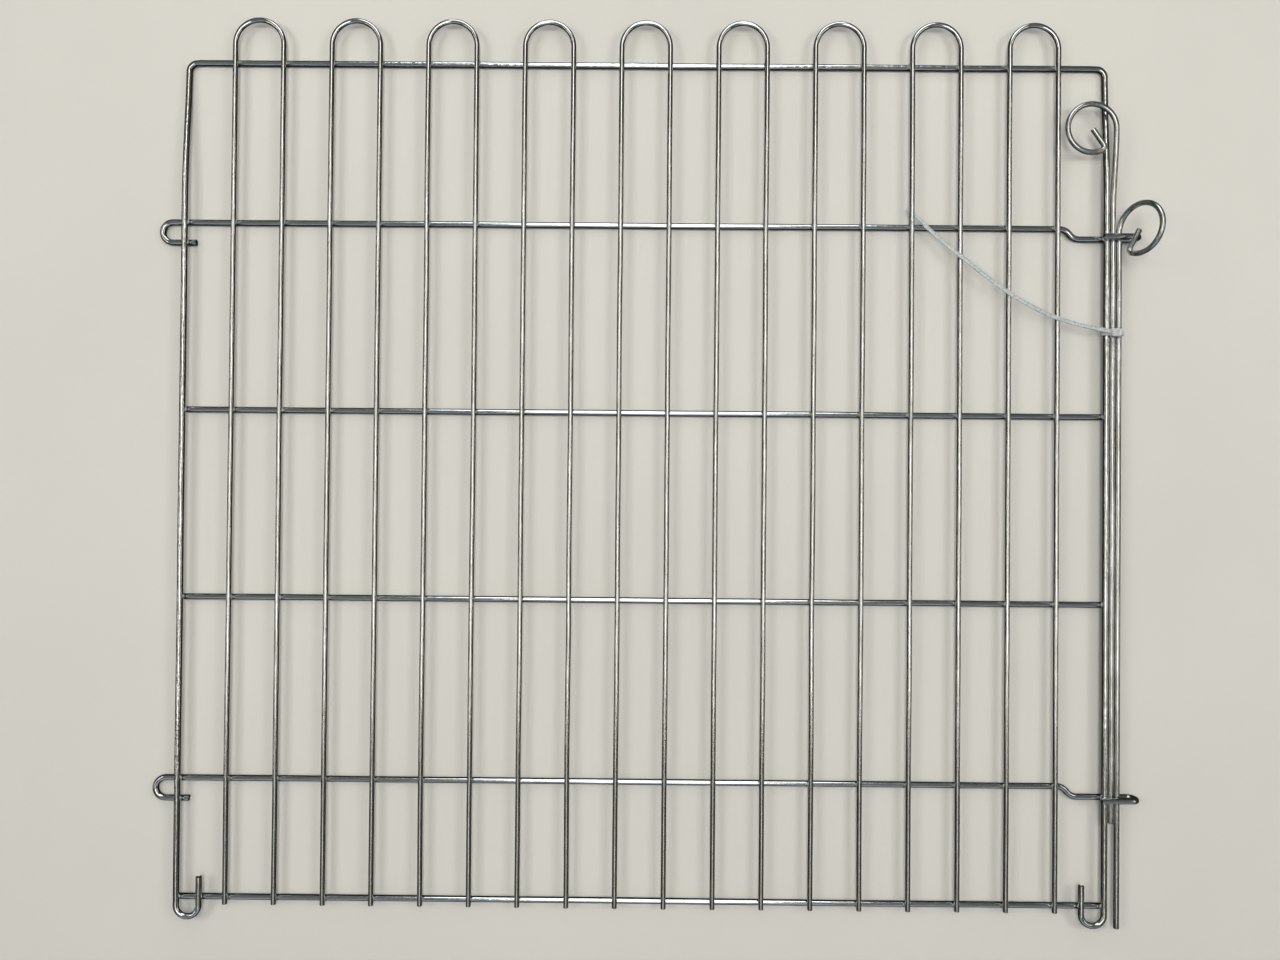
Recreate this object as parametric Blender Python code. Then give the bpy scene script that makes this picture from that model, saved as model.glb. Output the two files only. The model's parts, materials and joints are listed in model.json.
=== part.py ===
"""One panel of a modular wire run for rabbits, lying on its back, with its two connecting pins.

The panel's own axes: x from the middle between the uprights towards the slot eyes, y from the feet to the
top, and z from the back to the front. An empty carries them and puts the origin of the world at the middle
of the panel's box, at the bottom. The rear wires touch z = 0. The front wires are welded onto them.
"""

import math

import bmesh
import bpy
from mathutils import Vector

OBJECT_NAME = "wire_run_panel"

# Wires. WELD_GAP stands for each weld, where the real wires meet.
FRAME_WIRE = 0.0036
CROSSBAR_WIRE = 0.0036
HAIRPIN_WIRE = 0.0030
PIN_WIRE = 0.0032
WELD_GAP = 0.0003
WIRE_ROUNDING = 2  # bevel resolution, for eight sides
FLAT_TURN = math.pi / 8  # turns the eight sides, so that they face along the axes
FLAT_REACH = math.cos(math.pi / 8)  # from the middle to a side, as a share of the corner's radius

# Frame wire
FRAME_WIDTH = 0.574  # between the middles of the uprights
TOP_BAR_HEIGHT = 0.5345
CORNER_RADIUS = 0.0055
STEP_LENGTH = 0.08  # the stretch of upright that steps forward
FOOT_SPACING = 0.014
FOOT_TIP_HEIGHT = 0.0265
FOOT_JOINT_HEIGHT = 0.04  # where the foot ends and the frame wire takes over

# Hairpin bars
HAIRPIN_COUNT = 9
HAIRPIN_HEIGHT = 0.560
LEG_OVERRUN = 0.0032  # below the middle of the bottom bar

# Crossbars
UPPER_HINGE_HEIGHT = 0.434
UPPER_PLAIN_HEIGHT = 0.3165
LOWER_PLAIN_HEIGHT = 0.1995
LOWER_HINGE_HEIGHT = 0.0865
BOTTOM_BAR_HEIGHT = 0.0127
BAR_OVERRUN = 0.001  # past the middle of the upright

# Eyes of the hinge bars
EYE_SPACING = 0.0127  # between the middles of the D-eye's two legs
EYE_REACH = 0.0172  # from the middle of the left upright to the outside of the D-eye
EYE_RETURN = 0.0059  # the cut end, inside the middle of the left upright
JOG_LENGTH = 0.0125
JOG_DISTANCE = 0.0153  # from the jog to the middle of the right upright
SLOT_REACH = 0.0208  # from the middle of the right upright to the outside of the slot eye
SLOT_RETURN = 0.0036  # the cut end, inside the middle of the right upright

# Connecting pins
PIN_CLEARANCE = 0.0005
RING_RADIUS = 0.015
RING_SWEEP = math.radians(305)
TAIL_BEND_RADIUS = 0.0026
TAIL_STOP = 0.0006  # from the middle of the ring to the cut end
PIN_SEAT = 0.0023  # of the seated pin's ring above the middle of the slot eye
PIN_TIP_HEIGHT = 0.0005  # of the seated pin's tip above the feet
PIN_RAISED = 0.0645
NECK_LENGTH = 0.050
SEATED_TURN = math.radians(113)  # of the seated ring about its shaft, so that it stands forward

# Cable tie
TIE_HEIGHT = 0.368
TIE_CLEARANCE = 0.0003
STRAP_WIDTH = 0.0025
STRAP_THICKNESS = 0.0009
TIE_HEAD = (0.0058, 0.0048, 0.0036)
HEAD_OVERLAP = 0.0006  # of the head and the loop, which are one moulding
TAIL_LEG = 15  # the leg that the tail's end lies under
TAIL_CLIMB = (0.133, 0.364, 0.706)  # shares of the climb to the hinge bar, at the legs before that
TAIL_CLEARANCE = 0.0005
# The tail's end, from where its leg crosses the hinge bar, in the distances at which the strap just clears them
TAIL_END = ((4.4, -1.0), (2.5, 1.0), (1.0, 2.5), (-1.0, 3.7))
TAIL_SAMPLES = 4

RISE_SHARES = (0, 0.2, 0.4, 0.6, 0.8)  # along a straight stretch that steps or springs forward
ARC_STEPS = 12
FOOT_STEPS = 11  # an odd number leaves a level facet at the lowest point
RING_STEPS = 26
SHARP_ANGLE = math.radians(40)

# Places that follow from the sizes
WELD_PLANE = max(FRAME_WIRE, CROSSBAR_WIRE)
REAR_FRAME_Z = WELD_PLANE - FRAME_WIRE / 2
CROSSBAR_Z = WELD_PLANE - CROSSBAR_WIRE / 2
UPRIGHT_Z = WELD_PLANE + WELD_GAP + FRAME_WIRE / 2
HAIRPIN_Z = WELD_PLANE + WELD_GAP + HAIRPIN_WIRE / 2
UPRIGHT_X = FRAME_WIDTH / 2
SLOT_FRONT_Z = UPRIGHT_Z + FRAME_WIRE / 2 + WELD_GAP + CROSSBAR_WIRE / 2
SLOT_RADIUS = (SLOT_FRONT_Z - CROSSBAR_Z) / 2
SLOT_Z = CROSSBAR_Z + SLOT_RADIUS
BAR_PITCH = FRAME_WIDTH / (2 * HAIRPIN_COUNT + 1)
RAISED_PIN_X = UPRIGHT_X + FRAME_WIRE / 2 + PIN_CLEARANCE + PIN_WIRE / 2
SEATED_PIN_X = RAISED_PIN_X + PIN_WIRE + PIN_CLEARANCE
SEATED_RING_HEIGHT = UPPER_HINGE_HEIGHT - EYE_SPACING / 2 + PIN_SEAT
PIN_SHAFT = SEATED_RING_HEIGHT - PIN_TIP_HEIGHT
NECK_LEAN = (FRAME_WIRE + PIN_WIRE) / 2 + PIN_CLEARANCE

ZINC = (0.60, 0.61, 0.63, 1.0)
NYLON = (0.80, 0.83, 0.84, 1.0)


def clear_scene():
    for obj in list(bpy.data.objects):
        bpy.data.objects.remove(obj, do_unlink=True)


def new_collection(name):
    collection = bpy.data.collections.new(name)
    bpy.context.scene.collection.children.link(collection)
    return collection


def new_material(name, colour, metallic, roughness):
    material = bpy.data.materials.new(name)
    material.use_nodes = True
    shader = material.node_tree.nodes["Principled BSDF"]
    shader.inputs["Base Color"].default_value = colour
    shader.inputs["Metallic"].default_value = metallic
    shader.inputs["Roughness"].default_value = roughness
    return material


def zinc_material(name):
    return new_material(name, ZINC, metallic=1.0, roughness=0.3)


def arc(centre, radius, start, end, steps):
    """Points of an arc in the plane of the panel, with its angles in radians."""
    angles = [start + (end - start) * step / steps for step in range(steps + 1)]
    return [centre + Vector((radius * math.cos(a), radius * math.sin(a), 0)) for a in angles]


def smooth(share):
    return share * share * (3 - 2 * share)


def shares_along(points):
    """How far along the line each point is, from 0 to 1."""
    along = [0.0]
    for start, end in zip(points, points[1:]):
        along.append(along[-1] + (end - start).length)
    return [distance / along[-1] for distance in along]


def wire_curve(name, points, diameter):
    """A bent round wire with flat cut ends, as a curve."""
    curve = bpy.data.curves.new(name, "CURVE")
    curve.dimensions = "3D"
    curve.bevel_depth = diameter / 2 / FLAT_REACH
    curve.bevel_resolution = WIRE_ROUNDING
    curve.use_fill_caps = True
    spline = curve.splines.new("POLY")
    spline.points.add(len(points) - 1)
    for spline_point, point in zip(spline.points, points, strict=True):
        spline_point.co = (*point, 1)
        spline_point.tilt = FLAT_TURN
    return curve


def place(name, data, parent, collection, location=(0, 0, 0)):
    obj = bpy.data.objects.new(name, data)
    obj.parent = parent
    obj.location = location
    collection.objects.link(obj)
    return obj


def mirrored(points):
    """The same line on the panel's other side, run through backwards."""
    return [Vector((-point.x, point.y, point.z)) for point in reversed(points)]


def foot_points():
    """The left foot's middle line, from its cut end up to where the frame wire takes over."""
    radius = FOOT_SPACING / 2
    centre = Vector((-UPRIGHT_X + radius, radius + FRAME_WIRE / 2, UPRIGHT_Z))
    tip = Vector((-UPRIGHT_X + FOOT_SPACING, FOOT_TIP_HEIGHT, UPRIGHT_Z))
    top = Vector((-UPRIGHT_X, FOOT_JOINT_HEIGHT, UPRIGHT_Z))
    return [tip, *arc(centre, radius, 0, -math.pi, FOOT_STEPS), top]


def frame_points():
    """The frame wire's middle line, from the left foot to the right foot."""
    corner_centre = Vector((-UPRIGHT_X + CORNER_RADIUS, TOP_BAR_HEIGHT - CORNER_RADIUS, UPRIGHT_Z))
    step_foot = corner_centre - Vector((CORNER_RADIUS, STEP_LENGTH, 0))
    rise = [step_foot + Vector((0, STEP_LENGTH * share, 0)) for share in RISE_SHARES]
    corner = arc(corner_centre, CORNER_RADIUS, math.pi, math.pi / 2, ARC_STEPS // 2)
    step = rise + corner
    for point, share in zip(step, shares_along(step)):
        point.z += (REAR_FRAME_Z - UPRIGHT_Z) * smooth(share)
    left = [Vector((-UPRIGHT_X, FOOT_JOINT_HEIGHT, UPRIGHT_Z)), *step]
    return left + mirrored(left)


def hairpin_points():
    """One hairpin's middle line, about the line halfway between its legs."""
    radius = BAR_PITCH / 2
    leg_end = BOTTOM_BAR_HEIGHT - LEG_OVERRUN
    arch = arc(Vector((0, HAIRPIN_HEIGHT - radius, 0)), radius, math.pi, 0, ARC_STEPS)
    return [Vector((-radius, leg_end, 0)), *arch, Vector((radius, leg_end, 0))]


def leg_x(number):
    """The middle of a hairpin's leg, counted from 1 at the left."""
    return -UPRIGHT_X + BAR_PITCH * number


def jog_points(start_x):
    """The S-shaped step of a hinge bar, down to the middle of the D-eye."""
    drop = EYE_SPACING / 2
    angle = 2 * math.atan2(drop, JOG_LENGTH)
    radius = JOG_LENGTH / 2 / math.sin(angle)
    down = Vector((start_x, -radius, 0))
    level = Vector((start_x + JOG_LENGTH, radius - drop, 0))
    quarter = math.pi / 2
    first = arc(down, radius, quarter, quarter - angle, ARC_STEPS // 3)
    second = arc(level, radius, 3 * quarter - angle, 3 * quarter, ARC_STEPS // 3)
    return first + second[1:]


def slot_points():
    """The slot eye's bend, in the plane through the panel's thickness."""
    middle_x = UPRIGHT_X + SLOT_REACH - CROSSBAR_WIRE / 2 - SLOT_RADIUS
    flat = arc(Vector((0, 0, 0)), SLOT_RADIUS, -math.pi / 2, math.pi / 2, ARC_STEPS)
    return [Vector((middle_x + p.x, -EYE_SPACING / 2, SLOT_RADIUS + p.y)) for p in flat]


def slot_eye_points():
    """The slot eye's middle line as far as its cut end, with the front leg."""
    cut_end = Vector((UPRIGHT_X - SLOT_RETURN, -EYE_SPACING / 2, 2 * SLOT_RADIUS))
    return [*slot_points(), cut_end]


def hinge_bar_points():
    """A hinge bar's middle line, from the D-eye's cut end to the slot eye's."""
    eye_radius = EYE_SPACING / 2
    eye_x = -UPRIGHT_X - EYE_REACH + CROSSBAR_WIRE / 2 + eye_radius
    eye_centre = Vector((eye_x, -eye_radius, 0))
    points = [Vector((-UPRIGHT_X + EYE_RETURN, -EYE_SPACING, 0))]
    points += arc(eye_centre, eye_radius, -math.pi / 2, -3 * math.pi / 2, ARC_STEPS)
    points += jog_points(UPRIGHT_X - JOG_DISTANCE - JOG_LENGTH)
    return points + slot_eye_points()


def pin_points(lean):
    """A pin's middle line, from its tip to the cut end of its tail, about the ring's height on the shaft.

    The ring lies towards -x. A lean above 0 springs the neck forward, and the ring with it.
    """
    neck = [
        Vector((0, -NECK_LENGTH * (1 - share), lean * smooth(share))) for share in RISE_SHARES
    ]
    ring_centre = Vector((-RING_RADIUS, 0, lean))
    bend_distance = RING_RADIUS - TAIL_BEND_RADIUS
    bend_angle = math.asin(TAIL_BEND_RADIUS / bend_distance)
    ring_end = RING_SWEEP - bend_angle
    outward = Vector((math.cos(ring_end), math.sin(ring_end), 0))
    ring = arc(ring_centre, RING_RADIUS, 0, ring_end, RING_STEPS)
    bend_centre = ring_centre + outward * bend_distance
    bend = arc(bend_centre, TAIL_BEND_RADIUS, ring_end, RING_SWEEP + math.pi / 2, ARC_STEPS // 3)
    tail = Vector((math.cos(RING_SWEEP), math.sin(RING_SWEEP), 0))
    cut_end = ring_centre + tail * TAIL_STOP
    shaft = [Vector((0, -PIN_SHAFT, 0))]
    if lean:
        shaft += neck
    return shaft + ring + bend[1:] + [cut_end]


def panel_centre():
    """The middle of the panel's box, in the panel's own x and y."""
    ring_width = 2 * RING_RADIUS * -math.cos(SEATED_TURN)
    right = max(UPRIGHT_X + SLOT_REACH, SEATED_PIN_X + ring_width + PIN_WIRE / 2)
    left = -UPRIGHT_X - EYE_REACH
    return Vector(((left + right) / 2, (HAIRPIN_HEIGHT + HAIRPIN_WIRE / 2) / 2, 0))


def stadium(half_length, radius):
    """The outline of a slot with round ends, in the local x and y."""
    quarter = math.pi / 2
    right = arc(Vector((half_length, 0, 0)), radius, -quarter, quarter, ARC_STEPS)
    left = arc(Vector((-half_length, 0, 0)), radius, quarter, 3 * quarter, ARC_STEPS)
    return right + left


def outline_curve(name, outlines, thickness):
    """A flat plate with these closed outlines, where an outline inside another is a hole."""
    curve = bpy.data.curves.new(name, "CURVE")
    curve.dimensions = "2D"
    curve.fill_mode = "BOTH"
    curve.extrude = thickness / 2
    for outline in outlines:
        spline = curve.splines.new("POLY")
        spline.points.add(len(outline) - 1)
        for spline_point, point in zip(spline.points, outline, strict=True):
            spline_point.co = (*point, 1)
        spline.use_cyclic_u = True
    return curve


def through(anchors, samples):
    """A smooth line through the anchors, with this many points from each to the next."""
    ends = [anchors[0] * 2 - anchors[1], *anchors, anchors[-1] * 2 - anchors[-2]]
    points = []
    for before, start, end, after in zip(ends, ends[1:], ends[2:], ends[3:], strict=False):
        for step in range(samples):
            t = step / samples
            line = 2 * start + (end - before) * t
            line += (2 * before - 5 * start + 4 * end - after) * t**2
            line += (3 * (start - end) + after - before) * t**3
            points.append(line / 2)
    return points + [anchors[-1]]


def tie_tail_anchors(head_middle):
    """The loose tail: over some legs and the hinge bar, and under its last leg."""
    over_legs = HAIRPIN_Z + HAIRPIN_WIRE / 2 + TAIL_CLEARANCE + STRAP_THICKNESS / 2
    over_bar = WELD_PLANE + TAIL_CLEARANCE + STRAP_THICKNESS / 2
    under_leg = WELD_PLANE - STRAP_THICKNESS
    climb = UPPER_HINGE_HEIGHT - TIE_HEIGHT
    anchors = [head_middle]
    for legs_on, share in enumerate(reversed(TAIL_CLIMB), start=1):
        crossing = Vector((leg_x(TAIL_LEG + legs_on), TIE_HEIGHT + climb * share, over_legs))
        anchors.insert(1, crossing)
    leg_side = HAIRPIN_WIRE / 2 + STRAP_WIDTH / 2
    bar_side = CROSSBAR_WIRE / 2 + STRAP_WIDTH / 2
    levels = (over_bar + STRAP_THICKNESS, over_bar, under_leg, under_leg - TAIL_CLEARANCE)
    for (aside, above), level in zip(TAIL_END, levels, strict=True):
        end_x = leg_x(TAIL_LEG) + aside * leg_side
        anchors.append(Vector((end_x, UPPER_HINGE_HEIGHT + above * bar_side, level)))
    return anchors


def mesh_of(obj):
    """A mesh copy of a curve object's shape, with the loose caps welded to its sides."""
    graph = bpy.context.evaluated_depsgraph_get()
    mesh = bpy.data.meshes.new_from_object(obj.evaluated_get(graph))
    welded = bmesh.new()
    welded.from_mesh(mesh)
    bmesh.ops.remove_doubles(welded, verts=welded.verts, dist=1e-6)
    bmesh.ops.recalc_face_normals(welded, faces=welded.faces)
    welded.to_mesh(mesh)
    welded.free()
    mesh.shade_smooth()
    mesh.set_sharp_from_angle(angle=SHARP_ANGLE)
    return mesh


def strap_mesh(name, points, collection):
    """A flat strap along the points, with its broad side to the front."""
    profile = outline_curve(name + "_profile", [strap_section()], 0)
    profile.fill_mode = "NONE"
    profile_object = place(name + "_profile", profile, None, collection)
    curve = bpy.data.curves.new(name, "CURVE")
    curve.dimensions = "3D"
    curve.twist_mode = "Z_UP"
    curve.bevel_mode = "OBJECT"
    curve.bevel_object = profile_object
    curve.use_fill_caps = True
    spline = curve.splines.new("POLY")
    spline.points.add(len(points) - 1)
    for spline_point, point in zip(spline.points, points, strict=True):
        spline_point.co = (*point, 1)
    curve_object = place(name, curve, None, collection)
    bpy.context.view_layer.update()
    mesh = mesh_of(curve_object)
    bpy.data.objects.remove(curve_object, do_unlink=True)
    bpy.data.objects.remove(profile_object, do_unlink=True)
    return mesh


def strap_section():
    x = STRAP_WIDTH / 2
    y = STRAP_THICKNESS / 2
    return [Vector((-x, -y, 0)), Vector((x, -y, 0)), Vector((x, y, 0)), Vector((-x, y, 0))]


def build_cable_tie(panel, parts, cutters):
    """The loop, the head and the loose tail, joined into the one moulding that they are."""
    loop_left = UPRIGHT_X - FRAME_WIRE / 2 - TIE_CLEARANCE
    loop_right = SEATED_PIN_X + PIN_WIRE / 2 / FLAT_REACH + TIE_CLEARANCE
    loop_radius = max(FRAME_WIRE, PIN_WIRE / FLAT_REACH) / 2 + TIE_CLEARANCE
    half_length = (loop_right - loop_left) / 2 - loop_radius
    inner = stadium(half_length, loop_radius)
    outer = stadium(half_length, loop_radius + STRAP_THICKNESS)
    middle_x = (loop_left + loop_right) / 2
    loop_curve = outline_curve("cable_tie_loop", [outer, inner], STRAP_WIDTH)
    loop = place("cable_tie_loop", loop_curve, None, cutters)
    bpy.context.view_layer.update()
    tie = place("cable_tie", mesh_of(loop), panel, parts, (middle_x, TIE_HEIGHT, UPRIGHT_Z))
    bpy.data.objects.remove(loop, do_unlink=True)
    tie.rotation_euler = (math.pi / 2, 0, 0)
    tie.data.materials.clear()
    tie.data.materials.append(new_material("cable_tie", NYLON, metallic=0.0, roughness=0.35))

    head_bottom = UPRIGHT_Z + loop_radius + STRAP_THICKNESS - HEAD_OVERLAP
    head_middle = Vector((middle_x, TIE_HEIGHT, head_bottom + TIE_HEAD[2] / 2))
    bpy.ops.mesh.primitive_cube_add(size=1)
    head = bpy.context.active_object
    head.name = "cable_tie_head"
    head.parent = panel
    head.location = head_middle
    head.scale = TIE_HEAD
    tail_points = through(tie_tail_anchors(head_middle), TAIL_SAMPLES)
    tail_mesh = strap_mesh("cable_tie_tail", tail_points, cutters)
    tail = place("cable_tie_tail", tail_mesh, panel, cutters)
    for collection in list(head.users_collection):
        collection.objects.unlink(head)
    cutters.objects.link(head)
    for joined in (head, tail):
        joined.hide_render = True
        joined.display_type = "WIRE"
        union = tie.modifiers.new(joined.name, "BOOLEAN")
        union.operation = "UNION"
        union.solver = "EXACT"
        union.object = joined


def build_frame(panel, parts):
    """One bent wire, whose two feet are pieces of their own."""
    foot = foot_points()
    lines = {"left_foot_hook": foot, "frame_wire": frame_points(), "right_foot_hook": mirrored(foot)}
    for name, points in lines.items():
        curve = wire_curve(name, points, FRAME_WIRE)
        curve.twist_mode = "Z_UP"
        curve.materials.append(zinc_material(name))
        place(name, curve, panel, parts)


def build_hairpins(panel, parts):
    curve = wire_curve("hairpin", hairpin_points(), HAIRPIN_WIRE)
    curve.materials.append(zinc_material("hairpin"))
    for number in range(1, HAIRPIN_COUNT + 1):
        middle_x = (leg_x(2 * number - 1) + leg_x(2 * number)) / 2
        place(f"hairpin_{number}", curve, panel, parts, (middle_x, 0, HAIRPIN_Z))


def build_crossbars(panel, parts):
    end = UPRIGHT_X + BAR_OVERRUN
    plain = {
        "upper_plain_bar": UPPER_PLAIN_HEIGHT,
        "lower_plain_bar": LOWER_PLAIN_HEIGHT,
        "bottom_bar": BOTTOM_BAR_HEIGHT,
    }
    for name, height in plain.items():
        curve = wire_curve(name, [Vector((-end, 0, 0)), Vector((end, 0, 0))], CROSSBAR_WIRE)
        curve.materials.append(zinc_material(name))
        place(name, curve, panel, parts, (0, height, CROSSBAR_Z))
    hinge = {"upper_hinge_bar": UPPER_HINGE_HEIGHT, "lower_hinge_bar": LOWER_HINGE_HEIGHT}
    for name, height in hinge.items():
        curve = wire_curve(name, hinge_bar_points(), CROSSBAR_WIRE)
        curve.materials.append(zinc_material(name))
        place(name, curve, panel, parts, (0, height, CROSSBAR_Z))


def build_pins(panel, parts):
    """The pins' origins are on their shafts' axes, at the height of their rings."""
    raised_height = SEATED_RING_HEIGHT + PIN_RAISED
    raised_curve = wire_curve("raised_pin", pin_points(NECK_LEAN), PIN_WIRE)
    raised_curve.materials.append(zinc_material("raised_pin"))
    place("raised_pin", raised_curve, panel, parts, (RAISED_PIN_X, raised_height, SLOT_Z))
    seated_curve = wire_curve("seated_pin", pin_points(0), PIN_WIRE)
    seated_curve.materials.append(zinc_material("seated_pin"))
    seated_place = (SEATED_PIN_X, SEATED_RING_HEIGHT, SLOT_Z)
    seated = place("seated_pin", seated_curve, panel, parts, seated_place)
    seated.rotation_euler = (0, SEATED_TURN, 0)


def main():
    clear_scene()
    parts = new_collection(OBJECT_NAME)
    cutters = new_collection("joined_shapes")
    panel = place("panel", None, None, parts, -panel_centre())
    build_frame(panel, parts)
    build_hairpins(panel, parts)
    build_crossbars(panel, parts)
    build_pins(panel, parts)
    build_cable_tie(panel, parts, cutters)


main()
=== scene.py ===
"""Looks for one panel of a modular wire rabbit run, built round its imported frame.

Each CAD wire gives way to a round wire along the same middle line, with sheared ends, bending marks and a
drawn, zinc-plated finish. Weld nuggets fill the crossings. The cable tie gets its rails, teeth and head.
"""

import json
import math

import bmesh
import bpy
from bpy.props import FloatProperty, FloatVectorProperty, IntProperty, PointerProperty
from mathutils import Euler, Matrix, Vector, kdtree, noise


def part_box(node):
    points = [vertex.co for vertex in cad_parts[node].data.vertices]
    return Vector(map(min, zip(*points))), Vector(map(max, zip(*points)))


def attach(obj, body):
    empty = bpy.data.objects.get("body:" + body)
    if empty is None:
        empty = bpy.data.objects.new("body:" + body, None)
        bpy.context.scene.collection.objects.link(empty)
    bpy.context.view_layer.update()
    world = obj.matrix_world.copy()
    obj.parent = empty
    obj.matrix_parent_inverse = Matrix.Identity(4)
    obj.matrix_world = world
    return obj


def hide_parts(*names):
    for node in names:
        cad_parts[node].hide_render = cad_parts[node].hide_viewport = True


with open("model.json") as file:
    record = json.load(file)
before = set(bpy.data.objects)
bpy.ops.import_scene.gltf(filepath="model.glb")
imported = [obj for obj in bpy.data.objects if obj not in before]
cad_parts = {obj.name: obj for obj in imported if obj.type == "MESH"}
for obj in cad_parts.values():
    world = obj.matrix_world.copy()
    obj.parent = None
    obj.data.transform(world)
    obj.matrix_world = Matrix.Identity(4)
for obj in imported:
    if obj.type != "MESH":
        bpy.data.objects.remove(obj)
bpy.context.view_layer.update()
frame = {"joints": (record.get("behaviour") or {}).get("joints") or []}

bl_info = {
    "name": "Wire Run Panel",
    "version": (1, 0, 0),
    "blender": (4, 5, 0),
    "location": "View3D > Sidebar > Wire Run",
    "description": "Builds the wires, pins and cable tie of a zinc-plated run panel, and a studio for them",
    "category": "Add Mesh",
}

HAIRPINS = [f"hairpin_{number}" for number in range(1, 10)]
FOOT_HOOKS = ["left_foot_hook", "right_foot_hook"]
HINGE_BARS = ["upper_hinge_bar", "lower_hinge_bar"]
PLAIN_BARS = ["upper_plain_bar", "lower_plain_bar", "bottom_bar"]
FRONT = Vector((0, 0, 1))
SHARP_ANGLE = math.radians(38)  # past which an edge between two faces shades sharp

# How finely each bend is drawn.
FOOT_STEPS = 32
CORNER_STEPS = 16
ARCH_STEPS = 40
EYE_STEPS = 32
SLOT_STEPS = 24
JOG_STEPS = 12
RING_STEPS = 72
TAIL_BEND_STEPS = 12
RISE_STEPS = 12
NECK_STEPS = 16
LOOP_STEPS = 16
TIE_TAIL_STEPS = 24

# The wires: waver left in straightened wire, lumps in the plating, cut ends and the marks of bending tools.
WAVE_LENGTH = 0.07
CROSSBAR_WAVER = 0.7  # of the waver of the other wires
LUMP_LENGTH = 0.006
LUMP_DEPTH = 0.00006
END_ROUNDING = ((0.0, 0.90), (0.35, 0.985), (1.0, 1.0))  # shares of the end's length, and of the full width
SHOULDER_DENT = (0.00022, 0.0012)  # depth, and half the width along the wire
CLAMP_DENT = (0.00016, 0.001)
CLAMP_DISTANCE = 0.006  # from the corner's shoulder
SHOULDER_SHARE = 0.2  # of the corner's radius
ARCH_DENT = (0.00018, 0.0011)
ARCH_DENT_PLACES = ((0.15, 0.6), (0.55, 1.4), (2.9, 2.2))  # shares of the radius past the leg, and facings
FRAME_HEAT = 0.0032  # reaches of a weld's heat along each kind of wire
HAIRPIN_HEAT = 0.0028
CROSSBAR_HEAT = 0.0030
EYE_RUB = 0.008
HANDLED = 0.02

# The welds.
NUGGET_SPREAD = 0.56  # of a hairpin's diameter
NUGGET_THICKNESS = 0.00062
NUGGET_SQUARENESS = 0.62
NUGGET_LUMPS = 0.16
NUGGET_HEAT = 0.8

# The cable tie.
RAIL_PLACE = 0.68  # shares of the strap's half width
RAIL_CREST = 0.92
BACK_SHARE = 0.9
SIDE_SHARE = 0.6  # of its half thickness
TOOTH_ROOT = 0.2
TOOTH_HEIGHT = 0.75
SMOOTH_TOOTH = 0.95  # where the strap has no teeth
TIP_WIDTH = 0.55  # of the full width
LOOP_SLACK = 0.0001
HEAD_BEVEL = 0.00055
MOUTH_MARGIN = (0.0006, 0.0005)  # across the strap and through it
WINDOW = (0.0022, 0.0017, 0.0016)
WINDOW_OFFSET = 0.0002
WINDOW_BEVEL = 0.0002
PAWL = (0.0020, 0.0015, 0.0007)
PAWL_DEPTH = 0.0008
PAWL_BEVEL = 0.00015
TAIL_LEGS = (17, 16, 15)  # that the loose tail climbs over
LAST_LEG = 14  # that its end lies under
TAIL_CLIMB = (0.133, 0.364, 0.706)  # shares of the climb to the hinge bar, at those legs
TAIL_END = ((4.4, -1.0), (2.5, 1.0), (1.0, 2.5), (-1.0, 3.7))  # in half widths off the last leg and the bar
TAIL_CLEARANCE = 0.0005

# The studio.
CREAM = (1.0, 0.97, 0.90)
WARM_WHITE = (1.0, 0.985, 0.96)
PALE_CYAN = (0.93, 1.0, 1.0)
SKY_BLUE = (0.45, 0.68, 1.0)
FLOOR_RADIUS = 4.0
FLOOR_DROP = 0.0002
FLOOR_CLOUDS = 0.965  # how bright its darker clouds are


# ---------------------------------------------------------------- measures taken from the frame


def crossbar_wire():
    low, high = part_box("bottom_bar")
    return high.z - low.z


def hairpin_wire():
    low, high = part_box(HAIRPINS[0])
    return high.z - low.z


def weld_level():
    """The height between the rear wires and the front ones."""
    return (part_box("bottom_bar")[1].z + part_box(HAIRPINS[0])[0].z) / 2


def bar_height(node):
    """The middle of a crossbar's long straight stretch, across the panel."""
    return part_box(node)[1].y - crossbar_wire() / 2


def upright_x(side):
    low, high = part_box("frame_wire")
    radius = crossbar_wire() / 2
    return low.x + radius if side < 0 else high.x - radius


def upright_level():
    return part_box("frame_wire")[1].z - crossbar_wire() / 2


def top_bar_height():
    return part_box("frame_wire")[1].y - crossbar_wire() / 2


def leg_places():
    """The middle x of each hairpin's leg, from the left."""
    radius = hairpin_wire() / 2
    places = []
    for node in HAIRPINS:
        low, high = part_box(node)
        places += [low.x + radius, high.x - radius]
    return places


def leg_level():
    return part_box(HAIRPINS[0])[0].z + hairpin_wire() / 2


def eye_spacing():
    low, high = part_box(HINGE_BARS[0])
    return high.y - low.y - crossbar_wire()


def slot_radius():
    return (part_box(HINGE_BARS[0])[1].z - crossbar_wire()) / 2


def seated_joint():
    return next(joint for joint in frame["joints"] if joint["name"] == "seated_pin_swivel")


def weld_places():
    """Where the wires cross and are welded, between their middle lines."""
    level = weld_level()
    bars = {node: bar_height(node) for node in HINGE_BARS + PLAIN_BARS}
    heights = [*bars.values(), top_bar_height()]
    places = [Vector((x, y, level)) for x in leg_places() for y in heights]
    left = upright_x(-1)
    right = upright_x(1)
    for node, height in bars.items():
        places.append(Vector((left, height, level)))
        hinge = node in HINGE_BARS
        right_height = height - eye_spacing() / 2 if hinge else height
        places.append(Vector((right, right_height, level)))
        if hinge:
            places.append(Vector((left, height - eye_spacing(), level)))
            front_level = upright_level() + crossbar_wire() / 2
            places.append(Vector((right, right_height, front_level)))
    return places


# ---------------------------------------------------------------- lines


def arc(centre, radius, start, end, steps):
    """Points of an arc in the plane of the panel."""
    angles = [start + (end - start) * step / steps for step in range(steps + 1)]
    return [centre + Vector((radius * math.cos(a), radius * math.sin(a), 0)) for a in angles]


def smooth(share):
    return share * share * (3 - 2 * share)


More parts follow.
